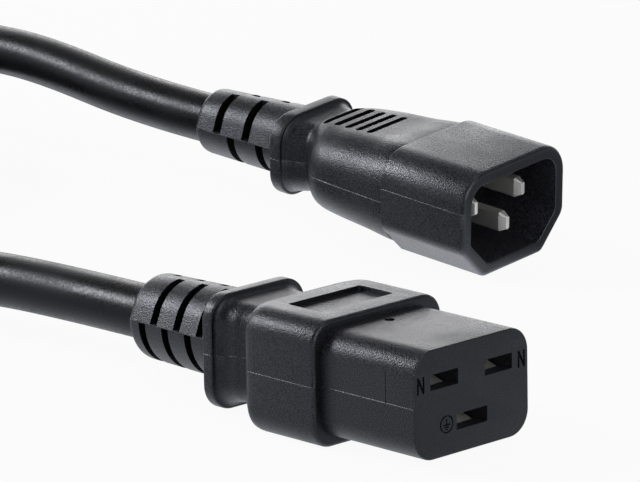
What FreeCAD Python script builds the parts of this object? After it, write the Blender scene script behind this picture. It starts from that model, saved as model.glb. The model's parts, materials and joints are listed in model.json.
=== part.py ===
"""Moulded power cord with a C19 connector on one end and a C14 plug on the other.

Millimetres.  +X points out of the C19 connector's front face, +Y to the right as one
looks at that face, +Z up.  The origin is under the middle of the connector, on the
surface that it lies on.  Inside each end the sizes are counted from that end's front
face, as "back" distances along its own axis.
"""
import FreeCAD, Part
import math
import os

from FreeCAD import Placement, Rotation, Vector

# ---------------------------------------------------------------- cord and wires
CORD_D = 10.0               # outer diameter of the cord's jacket
JACKET_GAP = 0.1            # round the twisted wires inside the jacket
WIRE_D = 3.4                # over the insulation of one wire
CONDUCTOR_D = 1.9           # bundle of copper strands
WIRE_GAP = 0.1              # between neighbouring wires inside the jacket
CRIMP_WALL = 0.5            # sheet of a crimp barrel
CRIMP_LENGTH = 4.5
STRIPPED = 0.6              # bare conductor between a crimp and the insulation
WIRE_STRAIGHT = 5.0         # straight wire behind a contact before it bends
PLUG_WIRE_STRAIGHT = 2.5    # the same behind a pin
WIRE_SETTLE = 6.5           # wires run straight over this length before the jacket starts
FIT = 0.05                  # clearance of a piece pushed into another
DOME_ANGLE = 81.0           # how far a rounded rear end turns before it meets the neck
DOME_STEPS = 5

# ---------------------------------------------------------------- C19 connector
NOSE_LENGTH = 22.3
NOSE_WIDTH = 27.5
NOSE_HEIGHT = 19.1
NOSE_CORNER = 4.4
NOSE_EDGE = 0.25            # rounding of the front face's edge
GRIP_WIDTH = 31.1           # rear body, whose front is the collar
GRIP_HEIGHT = 22.4
GRIP_CORNER = 4.2
GRIP_STRAIGHT = 14.6        # length at full size
GRIP_DOME = 7.4             # length of the rounded rear end
GRIP_DOME_WIDTH = 20.4      # where the rounding meets the neck
GRIP_DOME_HEIGHT = 16.6
GRIP_DOME_CORNER = 5.6
GRIP_EDGE = 0.7
NECK_WIDTH = 16.0
NECK_HEIGHT = 14.8
NECK_CORNER = 5.0
NECK_LENGTH = 7.9
NECK_FILLET = 2.2
JACKET_IN_NECK = -1.5       # neck's front to the jacket's front
FLANGE_WIDTH = 21.8
FLANGE_HEIGHT = 20.3
FLANGE_CORNER = 4.4
FLANGE_THICK = 2.4
FLANGE_EDGE = 0.35
PLATE_LENGTH = 8.4          # plain recess on top of the rear body
PLATE_WIDTH = 17.4
PLATE_DEPTH = 0.9
PLATE_FROM_COLLAR = 4.8
PIN_HOLE_D = 1.8            # left by the mould's locating pin
PIN_HOLE_FROM_COLLAR = 2.9

BLADE_PITCH = 13.0          # line to neutral
BLADE_DROP = 8.0            # earth below line and neutral
BLADE_RISE = 3.9            # line and neutral above the axis
SLOT_WIDTH = 6.6
EARTH_SLOT_WIDTH = 7.4
SLOT_HEIGHT = 2.75

# boot of the C19 end
BOOT_LENGTH = 23.7
BOOT_FRONT_D = 16.8
BOOT_REAR_D = 15.6
BOOT_SLOTS = 3              # in each quarter
BOOT_SLOT_PITCH = 6.1
BOOT_SLOT_WIDTH = 1.7
BOOT_FIRST_SLOT = 4.3       # flange to the middle of the foremost slots
BOOT_LEAD = 1               # 1 where the upper near quarter has them, -1 the lower
BOOT_REAR_EDGE = 1.4
BOOT_SPINE = 1.2            # uncut strip along top and bottom
BOOT_PARTING = 0.35         # height of the plane where upper and lower slots end

# ---------------------------------------------------------------- C19 inner pieces
SKIN = 1.85                 # overmould around the contact carrier
CARRIER_LENGTH = 19.4
CARRIER_FRONT_WALL = 1.0
CARRIER_CORNER = 2.8
CAP_THICK = 2.4
CAVITY_HEIGHT = 5.0
CAVITY_SIDE = 0.1           # cavity wider than its slot, each side
CONTACT_SHEET = 0.6
CONTACT_SIDE = 0.3          # contact narrower than its slot, each side
CONTACT_MOUTH = 3.3         # gap between the leaves at their flared tips
CONTACT_PINCH = 1.6         # gap where the leaves hold a blade
CONTACT_SPREAD = 3.2        # gap at the leaves' roots
CONTACT_FLARE = 2.8         # length of the flared tips
CONTACT_LEAF = 7.6          # pinch to root
CONTACT_BOX = 1.8           # closed rear of the contact

# ---------------------------------------------------------------- C14 plug
SHROUD_LENGTH = 20.9
SHROUD_WIDTH = 30.4
SHROUD_HEIGHT = 21.75
SHROUD_CORNER = 5.0
SHROUD_CHAMFER_Y = 6.5
SHROUD_CHAMFER_Z = 7.0
SHROUD_SOFT = 1.3           # rounding where the chamfers start and end
SHROUD_WALL = 2.4
SHROUD_DEPTH = 17.6
SHROUD_RIM = 0.6
TANG_LENGTH = 5.0           # rear block of the shroud, gripped by the overmould
TANG_INSET = 3.2

PIN_PITCH = 14.0
PIN_RISE = 1.95             # line and neutral above the axis
PIN_DROP = 4.5              # earth below line and neutral
PIN_HEIGHT = 4.0
PIN_THICK = 2.0
PIN_EDGE = 0.35
PIN_TIP_HEIGHT = 2.5
PIN_TIP_THICK = 0.9
PIN_TAPER = 1.5
PIN_BACK = 3.7              # line and neutral tips behind the rim
EARTH_PIN_BACK = 1.6
PIN_SHANK = 2.0             # pin behind the tang

PLUG_GRIP_LENGTH = 25.6     # rear body, joint ring to neck
PLUG_RING_WIDTH = 29.4      # section at the joint ring
PLUG_RING_HEIGHT = 20.2
PLUG_RING_CORNER = 8.0
PLUG_RING_LIFT = 0.6        # its middle above the axis
PLUG_MID_WIDTH = 27.6
PLUG_MID_HEIGHT = 17.8
PLUG_MID_CORNER = 7.6
PLUG_MID_LIFT = 0.5
PLUG_MID_BACK = 15.0        # joint ring to the section above
PLUG_END_WIDTH = 18.0
PLUG_END_HEIGHT = 13.4
PLUG_END_CORNER = 5.4
PLUG_END_LIFT = 0.6
PLUG_NECK_WIDTH = 15.6
PLUG_NECK_HEIGHT = 12.8
PLUG_NECK_CORNER = 4.6
PLUG_NECK_LENGTH = 4.6
PLUG_NECK_FILLET = 2.0
PLUG_JACKET_IN_NECK = 1.5
PLUG_FLANGE_WIDTH = 22.0
PLUG_FLANGE_HEIGHT = 16.7
PLUG_FLANGE_CORNER = 5.4
PLUG_FLANGE_THICK = 2.7
PLUG_TAIL_LIFT = 0.56       # neck and flange above the axis
PLUG_BOOT_LENGTH = 24.6
PLUG_BOOT_FRONT_D = 15.0
PLUG_BOOT_REAR_D = 13.2
PLUG_BOOT_BEND = 3.0        # degrees that the boot droops from the plug's axis
PLUG_BOOT_SLOTS = 2
PLUG_BOOT_SLOT_PITCH = 7.65
PLUG_BOOT_SLOT_WIDTH = 1.95
PLUG_BOOT_FIRST_SLOT = 6.2
PLUG_BOOT_LEAD = -1
GROOVES = 5
GROOVE_PITCH = 2.8
GROOVE_WIDTH = 1.5
GROOVE_LENGTH = 11.4
GROOVE_DEPTH = 1.0
GROOVE_LAST_BACK = 11.6     # joint ring to the foremost groove

# where the plug lies: its front face's centre, and how it is turned
PLUG_X = -43.85
PLUG_Y = 96.7
PLUG_Z = 11.7
PLUG_YAW = 4.4
PLUG_NOSE_DOWN = 6.5
PLUG_ROLL = 5.4

# ---------------------------------------------------------------- free cord
COIL_X = -232.0
COIL_Y = 32.5
COIL_R = 57.5               # middle of the outer turns
COIL_LEAD = 38.0            # straight length drawn with the coil at each of its ends
LAYERS = 2
FLOOR_GAP = 0.2             # under the cord
COIL_SLACK = 0.4            # of the coil's outer shape around its turns
RUN_END = 20.0              # first and last run of a route, in line with what it meets
RUN_C19_POINTS = [(-86.0, -0.6, 10.7), (-113.0, -6.5, 9.2), (-143.0, -17.5, 6.7)]

# ---------------------------------------------------------------- worked out
CORD_R = CORD_D / 2
WIRE_R = WIRE_D / 2
CONDUCTOR_R = CONDUCTOR_D / 2
CRIMP_R = CONDUCTOR_R + CRIMP_WALL
BUNDLE_R = (WIRE_D + WIRE_GAP) / math.sqrt(3)
JACKET_INNER_R = BUNDLE_R + WIRE_R + JACKET_GAP

COLLAR_BACK = NOSE_LENGTH
DOME_BACK = COLLAR_BACK + GRIP_STRAIGHT
NECK_BACK = DOME_BACK + GRIP_DOME
FLANGE_BACK = NECK_BACK + NECK_LENGTH
BOOT_BACK = FLANGE_BACK + FLANGE_THICK
TOTAL_C19 = BOOT_BACK + BOOT_LENGTH
AXIS_Z = GRIP_HEIGHT / 2
FACE_X = TOTAL_C19 / 2

PLUG_NECK_BACK = SHROUD_LENGTH + PLUG_GRIP_LENGTH
PLUG_FLANGE_BACK = PLUG_NECK_BACK + PLUG_NECK_LENGTH
PLUG_BOOT_BACK = PLUG_FLANGE_BACK + PLUG_FLANGE_THICK
TOTAL_C14 = PLUG_BOOT_BACK + PLUG_BOOT_LENGTH

C19_PLACE = Placement(Vector(FACE_X, 0, AXIS_Z), Rotation())
C14_PLACE = Placement(Vector(PLUG_X, PLUG_Y, PLUG_Z),
                      Rotation(PLUG_YAW, PLUG_NOSE_DOWN, PLUG_ROLL))

# line, neutral and earth: (name, sideways, up) at the terminals
C19_POLES = [("line", BLADE_PITCH / 2, BLADE_RISE),
             ("neutral", -BLADE_PITCH / 2, BLADE_RISE),
             ("earth", 0.0, BLADE_RISE - BLADE_DROP)]
C14_POLES = [("line", -PIN_PITCH / 2, PIN_RISE),
             ("neutral", PIN_PITCH / 2, PIN_RISE),
             ("earth", 0.0, PIN_RISE - PIN_DROP)]


# ---------------------------------------------------------------- shapes
def at(back, y=0.0, z=0.0):
    """A point a distance behind an end's front face."""
    return Vector(-back, y, z)


def rounded_outline(back, width, height, corner, lift=0.0):
    """Rounded rectangle square to the axis: four sides and four quarter rounds."""
    w, h = width / 2, height / 2
    middle_spot = at(back, 0, lift)
    edges = []
    for turn in range(4):
        side = math.pi / 2 * turn
        along, across = (w, h) if turn % 2 == 0 else (h, w)
        rot = Rotation(Vector(1, 0, 0), math.degrees(side))
        lower, upper = corner - across, across - corner
        edges.append(Part.makeLine(middle_spot + rot.multVec(Vector(0, along, lower)),
                                   middle_spot + rot.multVec(Vector(0, along, upper))))
        middle = Vector(0, along - corner, across - corner)
        mid_arc = middle + Vector(0, corner, corner) * math.sqrt(0.5)
        ends = (Vector(0, along, across - corner), mid_arc, Vector(0, along - corner, across))
        edges.append(Part.Arc(*[middle_spot + rot.multVec(p) for p in ends]).toShape())
    return Part.Wire(edges)


def block(back, length, width, height, corner, lift=0.0):
    """Rounded bar running back from a distance behind the face."""
    face = Part.Face(rounded_outline(back, width, height, corner, lift))
    return face.extrude(Vector(-length, 0, 0))


def box(back, length, y0, y1, z0, z1):
    return Part.makeBox(length, y1 - y0, z1 - z0, at(back + length, y0, z0))


def rod(back, length, radius, y=0.0, z=0.0):
    return Part.makeCylinder(radius, length, at(back, y, z), Vector(-1, 0, 0))


def skin(sections):
    """Solid through rounded outlines given as (back, width, height, corner, lift)."""
    return Part.makeLoft([rounded_outline(*s) for s in sections], True, False)


def fuse(shapes):
    whole = shapes[0].multiFuse(shapes[1:]) if len(shapes) > 1 else shapes[0]
    return whole.removeSplitter()


def edges_at(shape, back, tolerance=1e-4):
    """Edges that lie whole in the plane a distance behind the face."""
    return [e for e in shape.Edges
            if abs(e.BoundBox.XMin + back) < tolerance and abs(e.BoundBox.XMax + back) < tolerance]


def inside(edges, width, height, lift):
    """Those edges that stay within a width and a height about the axis."""
    near = 1e-3
    return [e for e in edges
            if max(abs(e.BoundBox.YMin), abs(e.BoundBox.YMax)) <= width / 2 + near
            and e.BoundBox.ZMax <= lift + height / 2 + near
            and e.BoundBox.ZMin >= lift - height / 2 - near]


def dome_sections(back, length, start, end):
    """Outlines of a rounded rear end, on a quarter ellipse from one size to another."""
    sections = []
    last = math.radians(DOME_ANGLE)
    for i in range(1, DOME_STEPS + 1):
        angle = last * i / DOME_STEPS
        share = (1 - math.cos(angle)) / (1 - math.cos(last))
        reach = math.sin(angle) / math.sin(last)
        size = [a + (b - a) * share for a, b in zip(start, end)]
        sections.append((back + length * reach, *size))
    return sections


# ---------------------------------------------------------------- tubes along a route
def route_radius(before, corner, after):
    """Radius of the arc at a corner of a route: as large as its two runs allow."""
    a, b = before - corner, after - corner
    half_turn = (math.pi - a.getAngle(b)) / 2
    return 0.45 * min(a.Length, b.Length) / math.tan(half_turn)


def route_wire(points):
    """Straight runs joined by tangent arcs."""
    edges = []
    start = points[0]
    for before, corner, after in zip(points, points[1:], points[2:]):
        a, b = before - corner, after - corner
        cut = 0.45 * min(a.Length, b.Length)
        half = a.getAngle(b) / 2
        a.normalize()
        b.normalize()
        enter, leave = corner + a * cut, corner + b * cut
        inward = a + b
        inward.normalize()
        radius = cut * math.tan(half)
        middle = corner + inward * (cut / math.cos(half) - radius)
        edges.append(Part.makeLine(start, enter))
        edges.append(Part.Arc(enter, middle, leave).toShape())
        start = leave
    edges.append(Part.makeLine(start, points[-1]))
    return Part.Wire(edges)


def tube(points, radius):
    """Round solid bar along a route."""
    path = route_wire(points)
    heading = points[1] - points[0]
    ring = Part.Wire(Part.makeCircle(radius, points[0], heading))
    return path.makePipeShell([ring], True, False)


def report_route(name, points, solid):
    """Print a route's arcs, and its volume against section times length."""
    path = route_wire(points)
    radii = [route_radius(*three) for three in zip(points, points[1:], points[2:])]
    section = math.pi * CORD_R ** 2
    print(name, "radii", [round(r) for r in radii], "length", round(path.Length, 1),
          "volume ratio", round(solid.Volume / (section * path.Length), 4))


# ---------------------------------------------------------------- pieces of both ends
def boot(back, length, front_d, rear_d, slots, pitch, slot_width, first, lead):
    """Tapered strain relief with staggered slots in its four quarters."""
    cone = Part.makeCone(front_d / 2, rear_d / 2, length, at(back), Vector(-1, 0, 0))
    cone = cone.makeFillet(BOOT_REAR_EDGE, edges_at(cone, back + length))
    cutters = []
    for side in (-1, 1):
        for up in (-1, 1):
            late = 0.0 if side * up * lead < 0 else pitch / 2
            for i in range(slots):
                start = back + first + late + i * pitch - slot_width / 2
                y0, y1 = sorted((side * BOOT_SPINE / 2, side * front_d))
                z0, z1 = sorted((BOOT_PARTING, up * front_d))
                cutters.append(box(start, slot_width, y0, y1, z0, z1))
    core = rod(back, length, CORD_R)
    return cone.cut(fuse(cutters).cut(core))


def drooped(tail, shape):
    """A shape at the axis turned and lifted with the cord end of a plug."""
    back, lift, bend = tail[0], tail[2], tail[3]
    turned = shape.copy()
    turned.rotate(at(back), Vector(0, 1, 0), -bend)
    turned.translate(Vector(0, 0, lift))
    return turned


def drooped_spot(tail, spot):
    back, lift, bend = tail[0], tail[2], tail[3]
    return at(back, 0, lift) + Rotation(Vector(0, 1, 0), -bend).multVec(spot - at(back))


def bundle_spot(index):
    """Where a wire lies inside the jacket: line and neutral above, earth below."""
    sideways, up = [(math.sqrt(0.75), 0.5), (-math.sqrt(0.75), 0.5), (0.0, -1.0)][index]
    return BUNDLE_R * sideways, BUNDLE_R * up


def wire_route(pole, wire_back, straight, tail):
    """Route of one wire from its terminal into the jacket, by its side of the axis."""
    name, y, z = pole
    side = 0 if y > 0 else 1 if y < 0 else 2
    y_in, z_in = bundle_spot(side)
    in_jacket = [drooped_spot(tail, at(back, y_in, z_in))
                 for back in (tail[0] - WIRE_SETTLE, tail[1])]
    return [at(wire_back, y, z), at(wire_back + straight, y, z)] + in_jacket


def wire_pieces(pole, crimp_back, straight, tail):
    """Insulation and bare conductor of one wire; the conductor reaches into its crimp."""
    route = wire_route(pole, crimp_back + CRIMP_LENGTH + STRIPPED, straight, tail)
    sheath = tube(route, WIRE_R)
    bare = [at(crimp_back, pole[1], pole[2])] + route[1:]
    conductor = tube(bare, CONDUCTOR_R)
    return sheath.cut(conductor), conductor, sheath


def crimp(back, y, z):
    return rod(back, CRIMP_LENGTH, CRIMP_R, y, z).cut(rod(back, CRIMP_LENGTH, CONDUCTOR_R, y, z))


def jacket_bar(tail, radius):
    """Round bar that fills the cord's place from inside the neck to the boot's end."""
    front, end = tail[:2]
    return drooped(tail, rod(front, end - front, radius))


def jacket_end(tail):
    return jacket_bar(tail, CORD_R).cut(jacket_bar(tail, JACKET_INNER_R))


# ---------------------------------------------------------------- C19 end
JACKET_FRONT = NECK_BACK + JACKET_IN_NECK
C19_TAIL = (JACKET_FRONT, TOTAL_C19, 0.0, 0.0)
CAP_BACK = SKIN + CARRIER_LENGTH
CARRIER_WIDTH = NOSE_WIDTH - 2 * SKIN
CARRIER_HEIGHT = NOSE_HEIGHT - 2 * SKIN
CAVITY_BACK = SKIN + CARRIER_FRONT_WALL
CONTACT_ROOT = CAVITY_BACK + CONTACT_FLARE + CONTACT_LEAF
CRIMP_BACK = CONTACT_ROOT + CONTACT_BOX


def slot_width(name):
    return EARTH_SLOT_WIDTH if name == "earth" else SLOT_WIDTH


def face_slots(back, length):
    """The three blade slots as solid bars."""
    bars = []
    for name, y, z in C19_POLES:
        half = slot_width(name) / 2
        bars.append(box(back, length, y - half, y + half, z - SLOT_HEIGHT / 2, z + SLOT_HEIGHT / 2))
    return bars


def c19_outside():
    """Nose, grip, neck, flange and boot as one outer form."""
    nose = block(0, COLLAR_BACK, NOSE_WIDTH, NOSE_HEIGHT, NOSE_CORNER)
    nose = nose.makeFillet(NOSE_EDGE, edges_at(nose, 0))
    full = (GRIP_WIDTH, GRIP_HEIGHT, GRIP_CORNER)
    small = (GRIP_DOME_WIDTH, GRIP_DOME_HEIGHT, GRIP_DOME_CORNER)
    grip = block(COLLAR_BACK, GRIP_STRAIGHT, *full)
    grip = grip.makeFillet(GRIP_EDGE, edges_at(grip, COLLAR_BACK))
    dome = skin([(DOME_BACK, *full)] + dome_sections(DOME_BACK, GRIP_DOME, full, small))
    neck = neck_and_flange(NECK_BACK, NECK_LENGTH, (NECK_WIDTH, NECK_HEIGHT, NECK_CORNER),
                           NECK_FILLET, (FLANGE_WIDTH, FLANGE_HEIGHT, FLANGE_CORNER), FLANGE_THICK)
    relief = boot(BOOT_BACK, BOOT_LENGTH, BOOT_FRONT_D, BOOT_REAR_D, BOOT_SLOTS,
                  BOOT_SLOT_PITCH, BOOT_SLOT_WIDTH, BOOT_FIRST_SLOT, BOOT_LEAD)
    return fuse([nose, grip, dome, neck, relief])


def neck_and_flange(back, length, neck_size, fillet, flange_size, thick, lift=0.0):
    """Waist between grip and flange; it flares into the flange's front face."""
    waist = block(back, length, *neck_size, lift)
    plate = block(back + length, thick, *flange_size, lift)
    plate = plate.makeFillet(FLANGE_EDGE, edges_at(plate, back + length)
                             + edges_at(plate, back + length + thick))
    joined = fuse([waist, plate])
    foot = inside(edges_at(joined, back + length), neck_size[0], neck_size[1], lift)
    return joined.makeFillet(fillet, foot)


def c19_pieces():
    """Every piece of the C19 end, in its own frame."""
    pieces = {}
    carrier = block(SKIN, CARRIER_LENGTH, CARRIER_WIDTH, CARRIER_HEIGHT, CARRIER_CORNER)
    cap = block(CAP_BACK, CAP_THICK, CARRIER_WIDTH, CARRIER_HEIGHT, CARRIER_CORNER)
    core = [block(SKIN, CARRIER_LENGTH + CAP_THICK, CARRIER_WIDTH, CARRIER_HEIGHT, CARRIER_CORNER)]
    core.append(jacket_bar(C19_TAIL, CORD_R))
    for pole in C19_POLES:
        name, y, z = pole
        half = slot_width(name) / 2 + CAVITY_SIDE
        cavity = box(CAVITY_BACK, CAP_BACK - CAVITY_BACK, y - half, y + half,
                     z - CAVITY_HEIGHT / 2, z + CAVITY_HEIGHT / 2)
        carrier = carrier.cut(cavity)
        insulation, conductor, sheath = wire_pieces(pole, CRIMP_BACK, WIRE_STRAIGHT, C19_TAIL)
        cap = cap.cut(rod(CAP_BACK, CAP_THICK, WIRE_R + FIT, y, z))
        core.append(sheath)
        pieces["c19_%s_contact" % name] = blade_contact(name, y, z)
        pieces["c19_%s_insulation" % name] = insulation
        pieces["c19_%s_conductor" % name] = conductor
    slots = face_slots(0, CAVITY_BACK)
    pieces["c19_contact_carrier"] = carrier.cut(fuse(slots))
    pieces["c19_carrier_cap"] = cap
    pieces["c19_jacket_end"] = jacket_end(C19_TAIL)
    top = GRIP_HEIGHT / 2
    plate = box(COLLAR_BACK + PLATE_FROM_COLLAR, PLATE_LENGTH, -PLATE_WIDTH / 2, PLATE_WIDTH / 2,
                top - PLATE_DEPTH, top + 1)
    hole = Part.makeCylinder(PIN_HOLE_D / 2, NOSE_HEIGHT,
                             at(COLLAR_BACK - PIN_HOLE_FROM_COLLAR, 0, NOSE_HEIGHT / 2 - SKIN))
    shell = c19_outside().cut(fuse(core)).cut(plate).cut(hole).cut(fuse(face_slots(0, SKIN)))
    pieces["c19_overmould"] = shell
    return pieces


def blade_contact(name, y, z):
    """Folded sheet contact: two leaves that pinch a blade, a closed rear and a crimp."""
    width = slot_width(name) - 2 * CONTACT_SIDE
    backs = [CAVITY_BACK + FIT, CAVITY_BACK + CONTACT_FLARE, CONTACT_ROOT, CRIMP_BACK]
    gaps = [CONTACT_MOUTH, CONTACT_PINCH, CONTACT_SPREAD, CONTACT_SPREAD]
    inner = list(zip(backs, [g / 2 for g in gaps]))
    sheet = CONTACT_SHEET
    upper = [at(b, 0, g) for b, g in inner]
    upper[-1] = at(CRIMP_BACK - sheet, 0, CONTACT_SPREAD / 2)
    lower = [Vector(p.x, 0, -p.z) for p in reversed(upper)]
    outer_lower = [at(b, 0, -g - sheet) for b, g in inner]
    outer_upper = [at(b, 0, g + sheet) for b, g in reversed(inner)]
    outline = Part.makePolygon(upper + lower + outer_lower + outer_upper + upper[:1])
    leaves = Part.Face(outline).extrude(Vector(0, width, 0))
    leaves.translate(Vector(0, y - width / 2, z))
    return fuse([leaves, crimp(CRIMP_BACK, y, z)])


# ---------------------------------------------------------------- C14 end
PLUG_JACKET_FRONT = PLUG_NECK_BACK + PLUG_JACKET_IN_NECK
C14_TAIL = (PLUG_JACKET_FRONT, TOTAL_C14, PLUG_TAIL_LIFT, PLUG_BOOT_BEND)
PLUG_CRIMP_BACK = SHROUD_LENGTH + TANG_LENGTH + PIN_SHANK


def shroud_outline(back, inset):
    """Inlet outline: round upper corners, sloped lower ones, all a given inset smaller."""
    w, h = SHROUD_WIDTH / 2 - inset, SHROUD_HEIGHT / 2 - inset
    slope = math.hypot(SHROUD_CHAMFER_Y, SHROUD_CHAMFER_Z)
    across = SHROUD_CHAMFER_Y + SHROUD_CHAMFER_Z - slope
    cut_y = SHROUD_CHAMFER_Y - inset * across / SHROUD_CHAMFER_Z
    cut_z = SHROUD_CHAMFER_Z - inset * across / SHROUD_CHAMFER_Y
    corners = [(w, h), (-w, h), (-w, cut_z - h), (cut_y - w, -h), (w - cut_y, -h), (w, cut_z - h)]
    top = SHROUD_CORNER - inset
    radii = [top, top] + [SHROUD_SOFT] * 4
    return rounded_polygon(back, corners, radii)


def rounded_polygon(back, corners, radii):
    """Closed outline through corners, each rounded by its own radius."""
    edges = []
    count = len(corners)
    spots = []
    for i in range(count):
        corner = at(back, *corners[i])
        a = at(back, *corners[i - 1]) - corner
        b = at(back, *corners[(i + 1) % count]) - corner
        half = a.getAngle(b) / 2
        a.normalize()
        b.normalize()
        cut = radii[i] / math.tan(half)
        inward = a + b
        inward.normalize()
        middle = corner + inward * (radii[i] / math.sin(half) - radii[i])
        spots.append((corner + a * cut, middle, corner + b * cut))
    for i in range(count):
        edges.append(Part.Arc(*spots[i]).toShape())
        edges.append(Part.makeLine(spots[i][2], spots[(i + 1) % count][0]))
    return Part.Wire(edges)


def shroud_bar(back, length, inset):
    return Part.Face(shroud_outline(back, inset)).extrude(Vector(-length, 0, 0))


def blade_pin(name, y, z):
    """Solid blade with a tapered tip; its rear end is a crimp barrel."""
    tip = EARTH_PIN_BACK if name == "earth" else PIN_BACK
    full = tip + PIN_TAPER
    bar = box(full, PLUG_CRIMP_BACK - full, y - PIN_THICK / 2, y + PIN_THICK / 2,
              z - PIN_HEIGHT / 2, z + PIN_HEIGHT / 2)
    long_edges = [e for e in bar.Edges if e.BoundBox.XLength > PIN_TAPER]
    bar = bar.makeChamfer(PIN_EDGE, long_edges)
    end = pin_outline(full, y, z, PIN_THICK, PIN_HEIGHT)
    point = pin_outline(tip, y, z, PIN_TIP_THICK, PIN_TIP_HEIGHT)
    taper = Part.makeLoft([end, point], True, True)
    return fuse([bar, taper, crimp(PLUG_CRIMP_BACK, y, z)])


def pin_outline(back, y, z, thick, height):
    """Outline of a blade with its four edges taken off."""
    e = min(PIN_EDGE, thick / 4)
    w, h = thick / 2, height / 2
    corners = [(w, h - e), (w - e, h), (e - w, h), (-w, h - e),
               (-w, e - h), (e - w, -h), (w - e, -h), (w, e - h)]
    spots = [at(back, y + a, z + b) for a, b in corners]
    return Part.makePolygon(spots + spots[:1])


def c14_outside():
    """Rear body, neck, flange and boot of the plug as one outer form."""
    ring = (PLUG_RING_WIDTH, PLUG_RING_HEIGHT, PLUG_RING_CORNER, PLUG_RING_LIFT)
    middle = (PLUG_MID_WIDTH, PLUG_MID_HEIGHT, PLUG_MID_CORNER, PLUG_MID_LIFT)
    end = (PLUG_END_WIDTH, PLUG_END_HEIGHT, PLUG_END_CORNER, PLUG_END_LIFT)
    between = [(3 * a + b) / 4 for a, b in zip(ring, middle)]
    middle_back = SHROUD_LENGTH + PLUG_MID_BACK
    grip = skin([(SHROUD_LENGTH, *ring), (SHROUD_LENGTH + PLUG_MID_BACK / 2, *between),
                 (middle_back, *middle)])
    dome = skin([(middle_back, *middle)]
                + dome_sections(middle_back, PLUG_NECK_BACK - middle_back, middle, end))
    neck = neck_and_flange(PLUG_NECK_BACK, PLUG_NECK_LENGTH,
                           (PLUG_NECK_WIDTH, PLUG_NECK_HEIGHT, PLUG_NECK_CORNER), PLUG_NECK_FILLET,
                           (PLUG_FLANGE_WIDTH, PLUG_FLANGE_HEIGHT, PLUG_FLANGE_CORNER),
                           PLUG_FLANGE_THICK, PLUG_TAIL_LIFT)
    root = PLUG_FLANGE_THICK / 2
    relief = boot(PLUG_BOOT_BACK - root, PLUG_BOOT_LENGTH + root, PLUG_BOOT_FRONT_D,
                  PLUG_BOOT_REAR_D, PLUG_BOOT_SLOTS, PLUG_BOOT_SLOT_PITCH, PLUG_BOOT_SLOT_WIDTH,
                  PLUG_BOOT_FIRST_SLOT + root, PLUG_BOOT_LEAD)
    return fuse([grip, dome, neck, drooped(C14_TAIL, relief)])


def groove(back, top):
    """Obround cutter lying across the plug's top."""
    half, radius = (GROOVE_LENGTH - GROOVE_WIDTH) / 2, GROOVE_WIDTH / 2
    deep = top - GROOVE_DEPTH
    bar = box(back - radius, GROOVE_WIDTH, -half, half, deep, top + GROOVE_WIDTH)
    ends = [Part.makeCylinder(radius, GROOVE_DEPTH + GROOVE_WIDTH, at(back, y, deep))
            for y in (-half, half)]
    return fuse([bar] + ends)


def top_of(shape, back):
    """Height of a shape's top on the axis plane, a distance behind the face."""
    probe = Part.makeLine(at(back, 0, 0), at(back, 0, SHROUD_HEIGHT))
    return shape.common(probe).BoundBox.ZMax


def c14_pieces():
    """Every piece of the C14 end, in its own frame."""
    pieces = {}
    shroud = shroud_bar(0, SHROUD_LENGTH, 0)
    shroud = shroud.makeFillet(SHROUD_RIM, edges_at(shroud, 0))
    hollow = shroud_bar(0, SHROUD_DEPTH, SHROUD_WALL)
    tang = shroud_bar(SHROUD_LENGTH, TANG_LENGTH, TANG_INSET)
    shroud = fuse([shroud, tang]).cut(hollow)
    core = [tang, jacket_bar(C14_TAIL, CORD_R)]
    for pole in C14_POLES:
        name, y, z = pole
        pin = blade_pin(name, y, z)
        insulation, conductor, sheath = wire_pieces(pole, PLUG_CRIMP_BACK, PLUG_WIRE_STRAIGHT,
                                                    C14_TAIL)
        shroud = shroud.cut(pin)
        core += [pin, sheath, conductor]
        pieces["c14_%s_pin" % name] = pin
        pieces["c14_%s_insulation" % name] = insulation
        pieces["c14_%s_conductor" % name] = conductor
    pieces["c14_shroud"] = shroud
    pieces["c14_jacket_end"] = jacket_end(C14_TAIL)
    shell = c14_outside()
    for i in range(GROOVES):
        back = SHROUD_LENGTH + GROOVE_LAST_BACK + i * GROOVE_PITCH
        shell = shell.cut(groove(back, top_of(shell, back)))
    pieces["c14_overmould"] = shell.cut(fuse(core))
    return pieces


# ---------------------------------------------------------------- free cord
def coil_spot(turned, radius, z):
    """Point of the coil after an angle; it starts heading -X and turns clockwise."""
    return Vector(COIL_X - radius * math.sin(turned), COIL_Y - radius * math.cos(turned), z)


def ring_slice(r0, r1, z0, z1, start, sweep):
    """Part of a flat ring about the coil's middle, its start angle counted from +X."""
    middle = Vector(COIL_X, COIL_Y, z0)
    outer = Part.makeCylinder(r1, z1 - z0, middle, Vector(0, 0, 1), sweep)
    ring = outer.cut(Part.makeCylinder(r0, z1 - z0, middle))
    ring.rotate(middle, Vector(0, 0, 1), start)
    return ring


def coil():
    """Outer shape of the coiled length, with its two straight ends."""
    half = CORD_R + COIL_SLACK
    height = FLOOR_GAP + LAYERS * CORD_D + COIL_SLACK
    body = ring_slice(COIL_R - CORD_D - half, COIL_R + half, 0, height, 0, 360)
    top = height + CORD_D
    climb = ring_slice(COIL_R - half, COIL_R + half, height, top, 90, 80)
    enter = coil_spot(0, COIL_R, CORD_R + FLOOR_GAP)
    leave = coil_spot(math.pi, COIL_R, CORD_R + FLOOR_GAP + LAYERS * CORD_D)
    ends = [Part.makeCylinder(CORD_R, COIL_LEAD, spot, Vector(1, 0, 0)) for spot in (enter, leave)]
    return fuse([body, climb] + ends)


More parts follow.
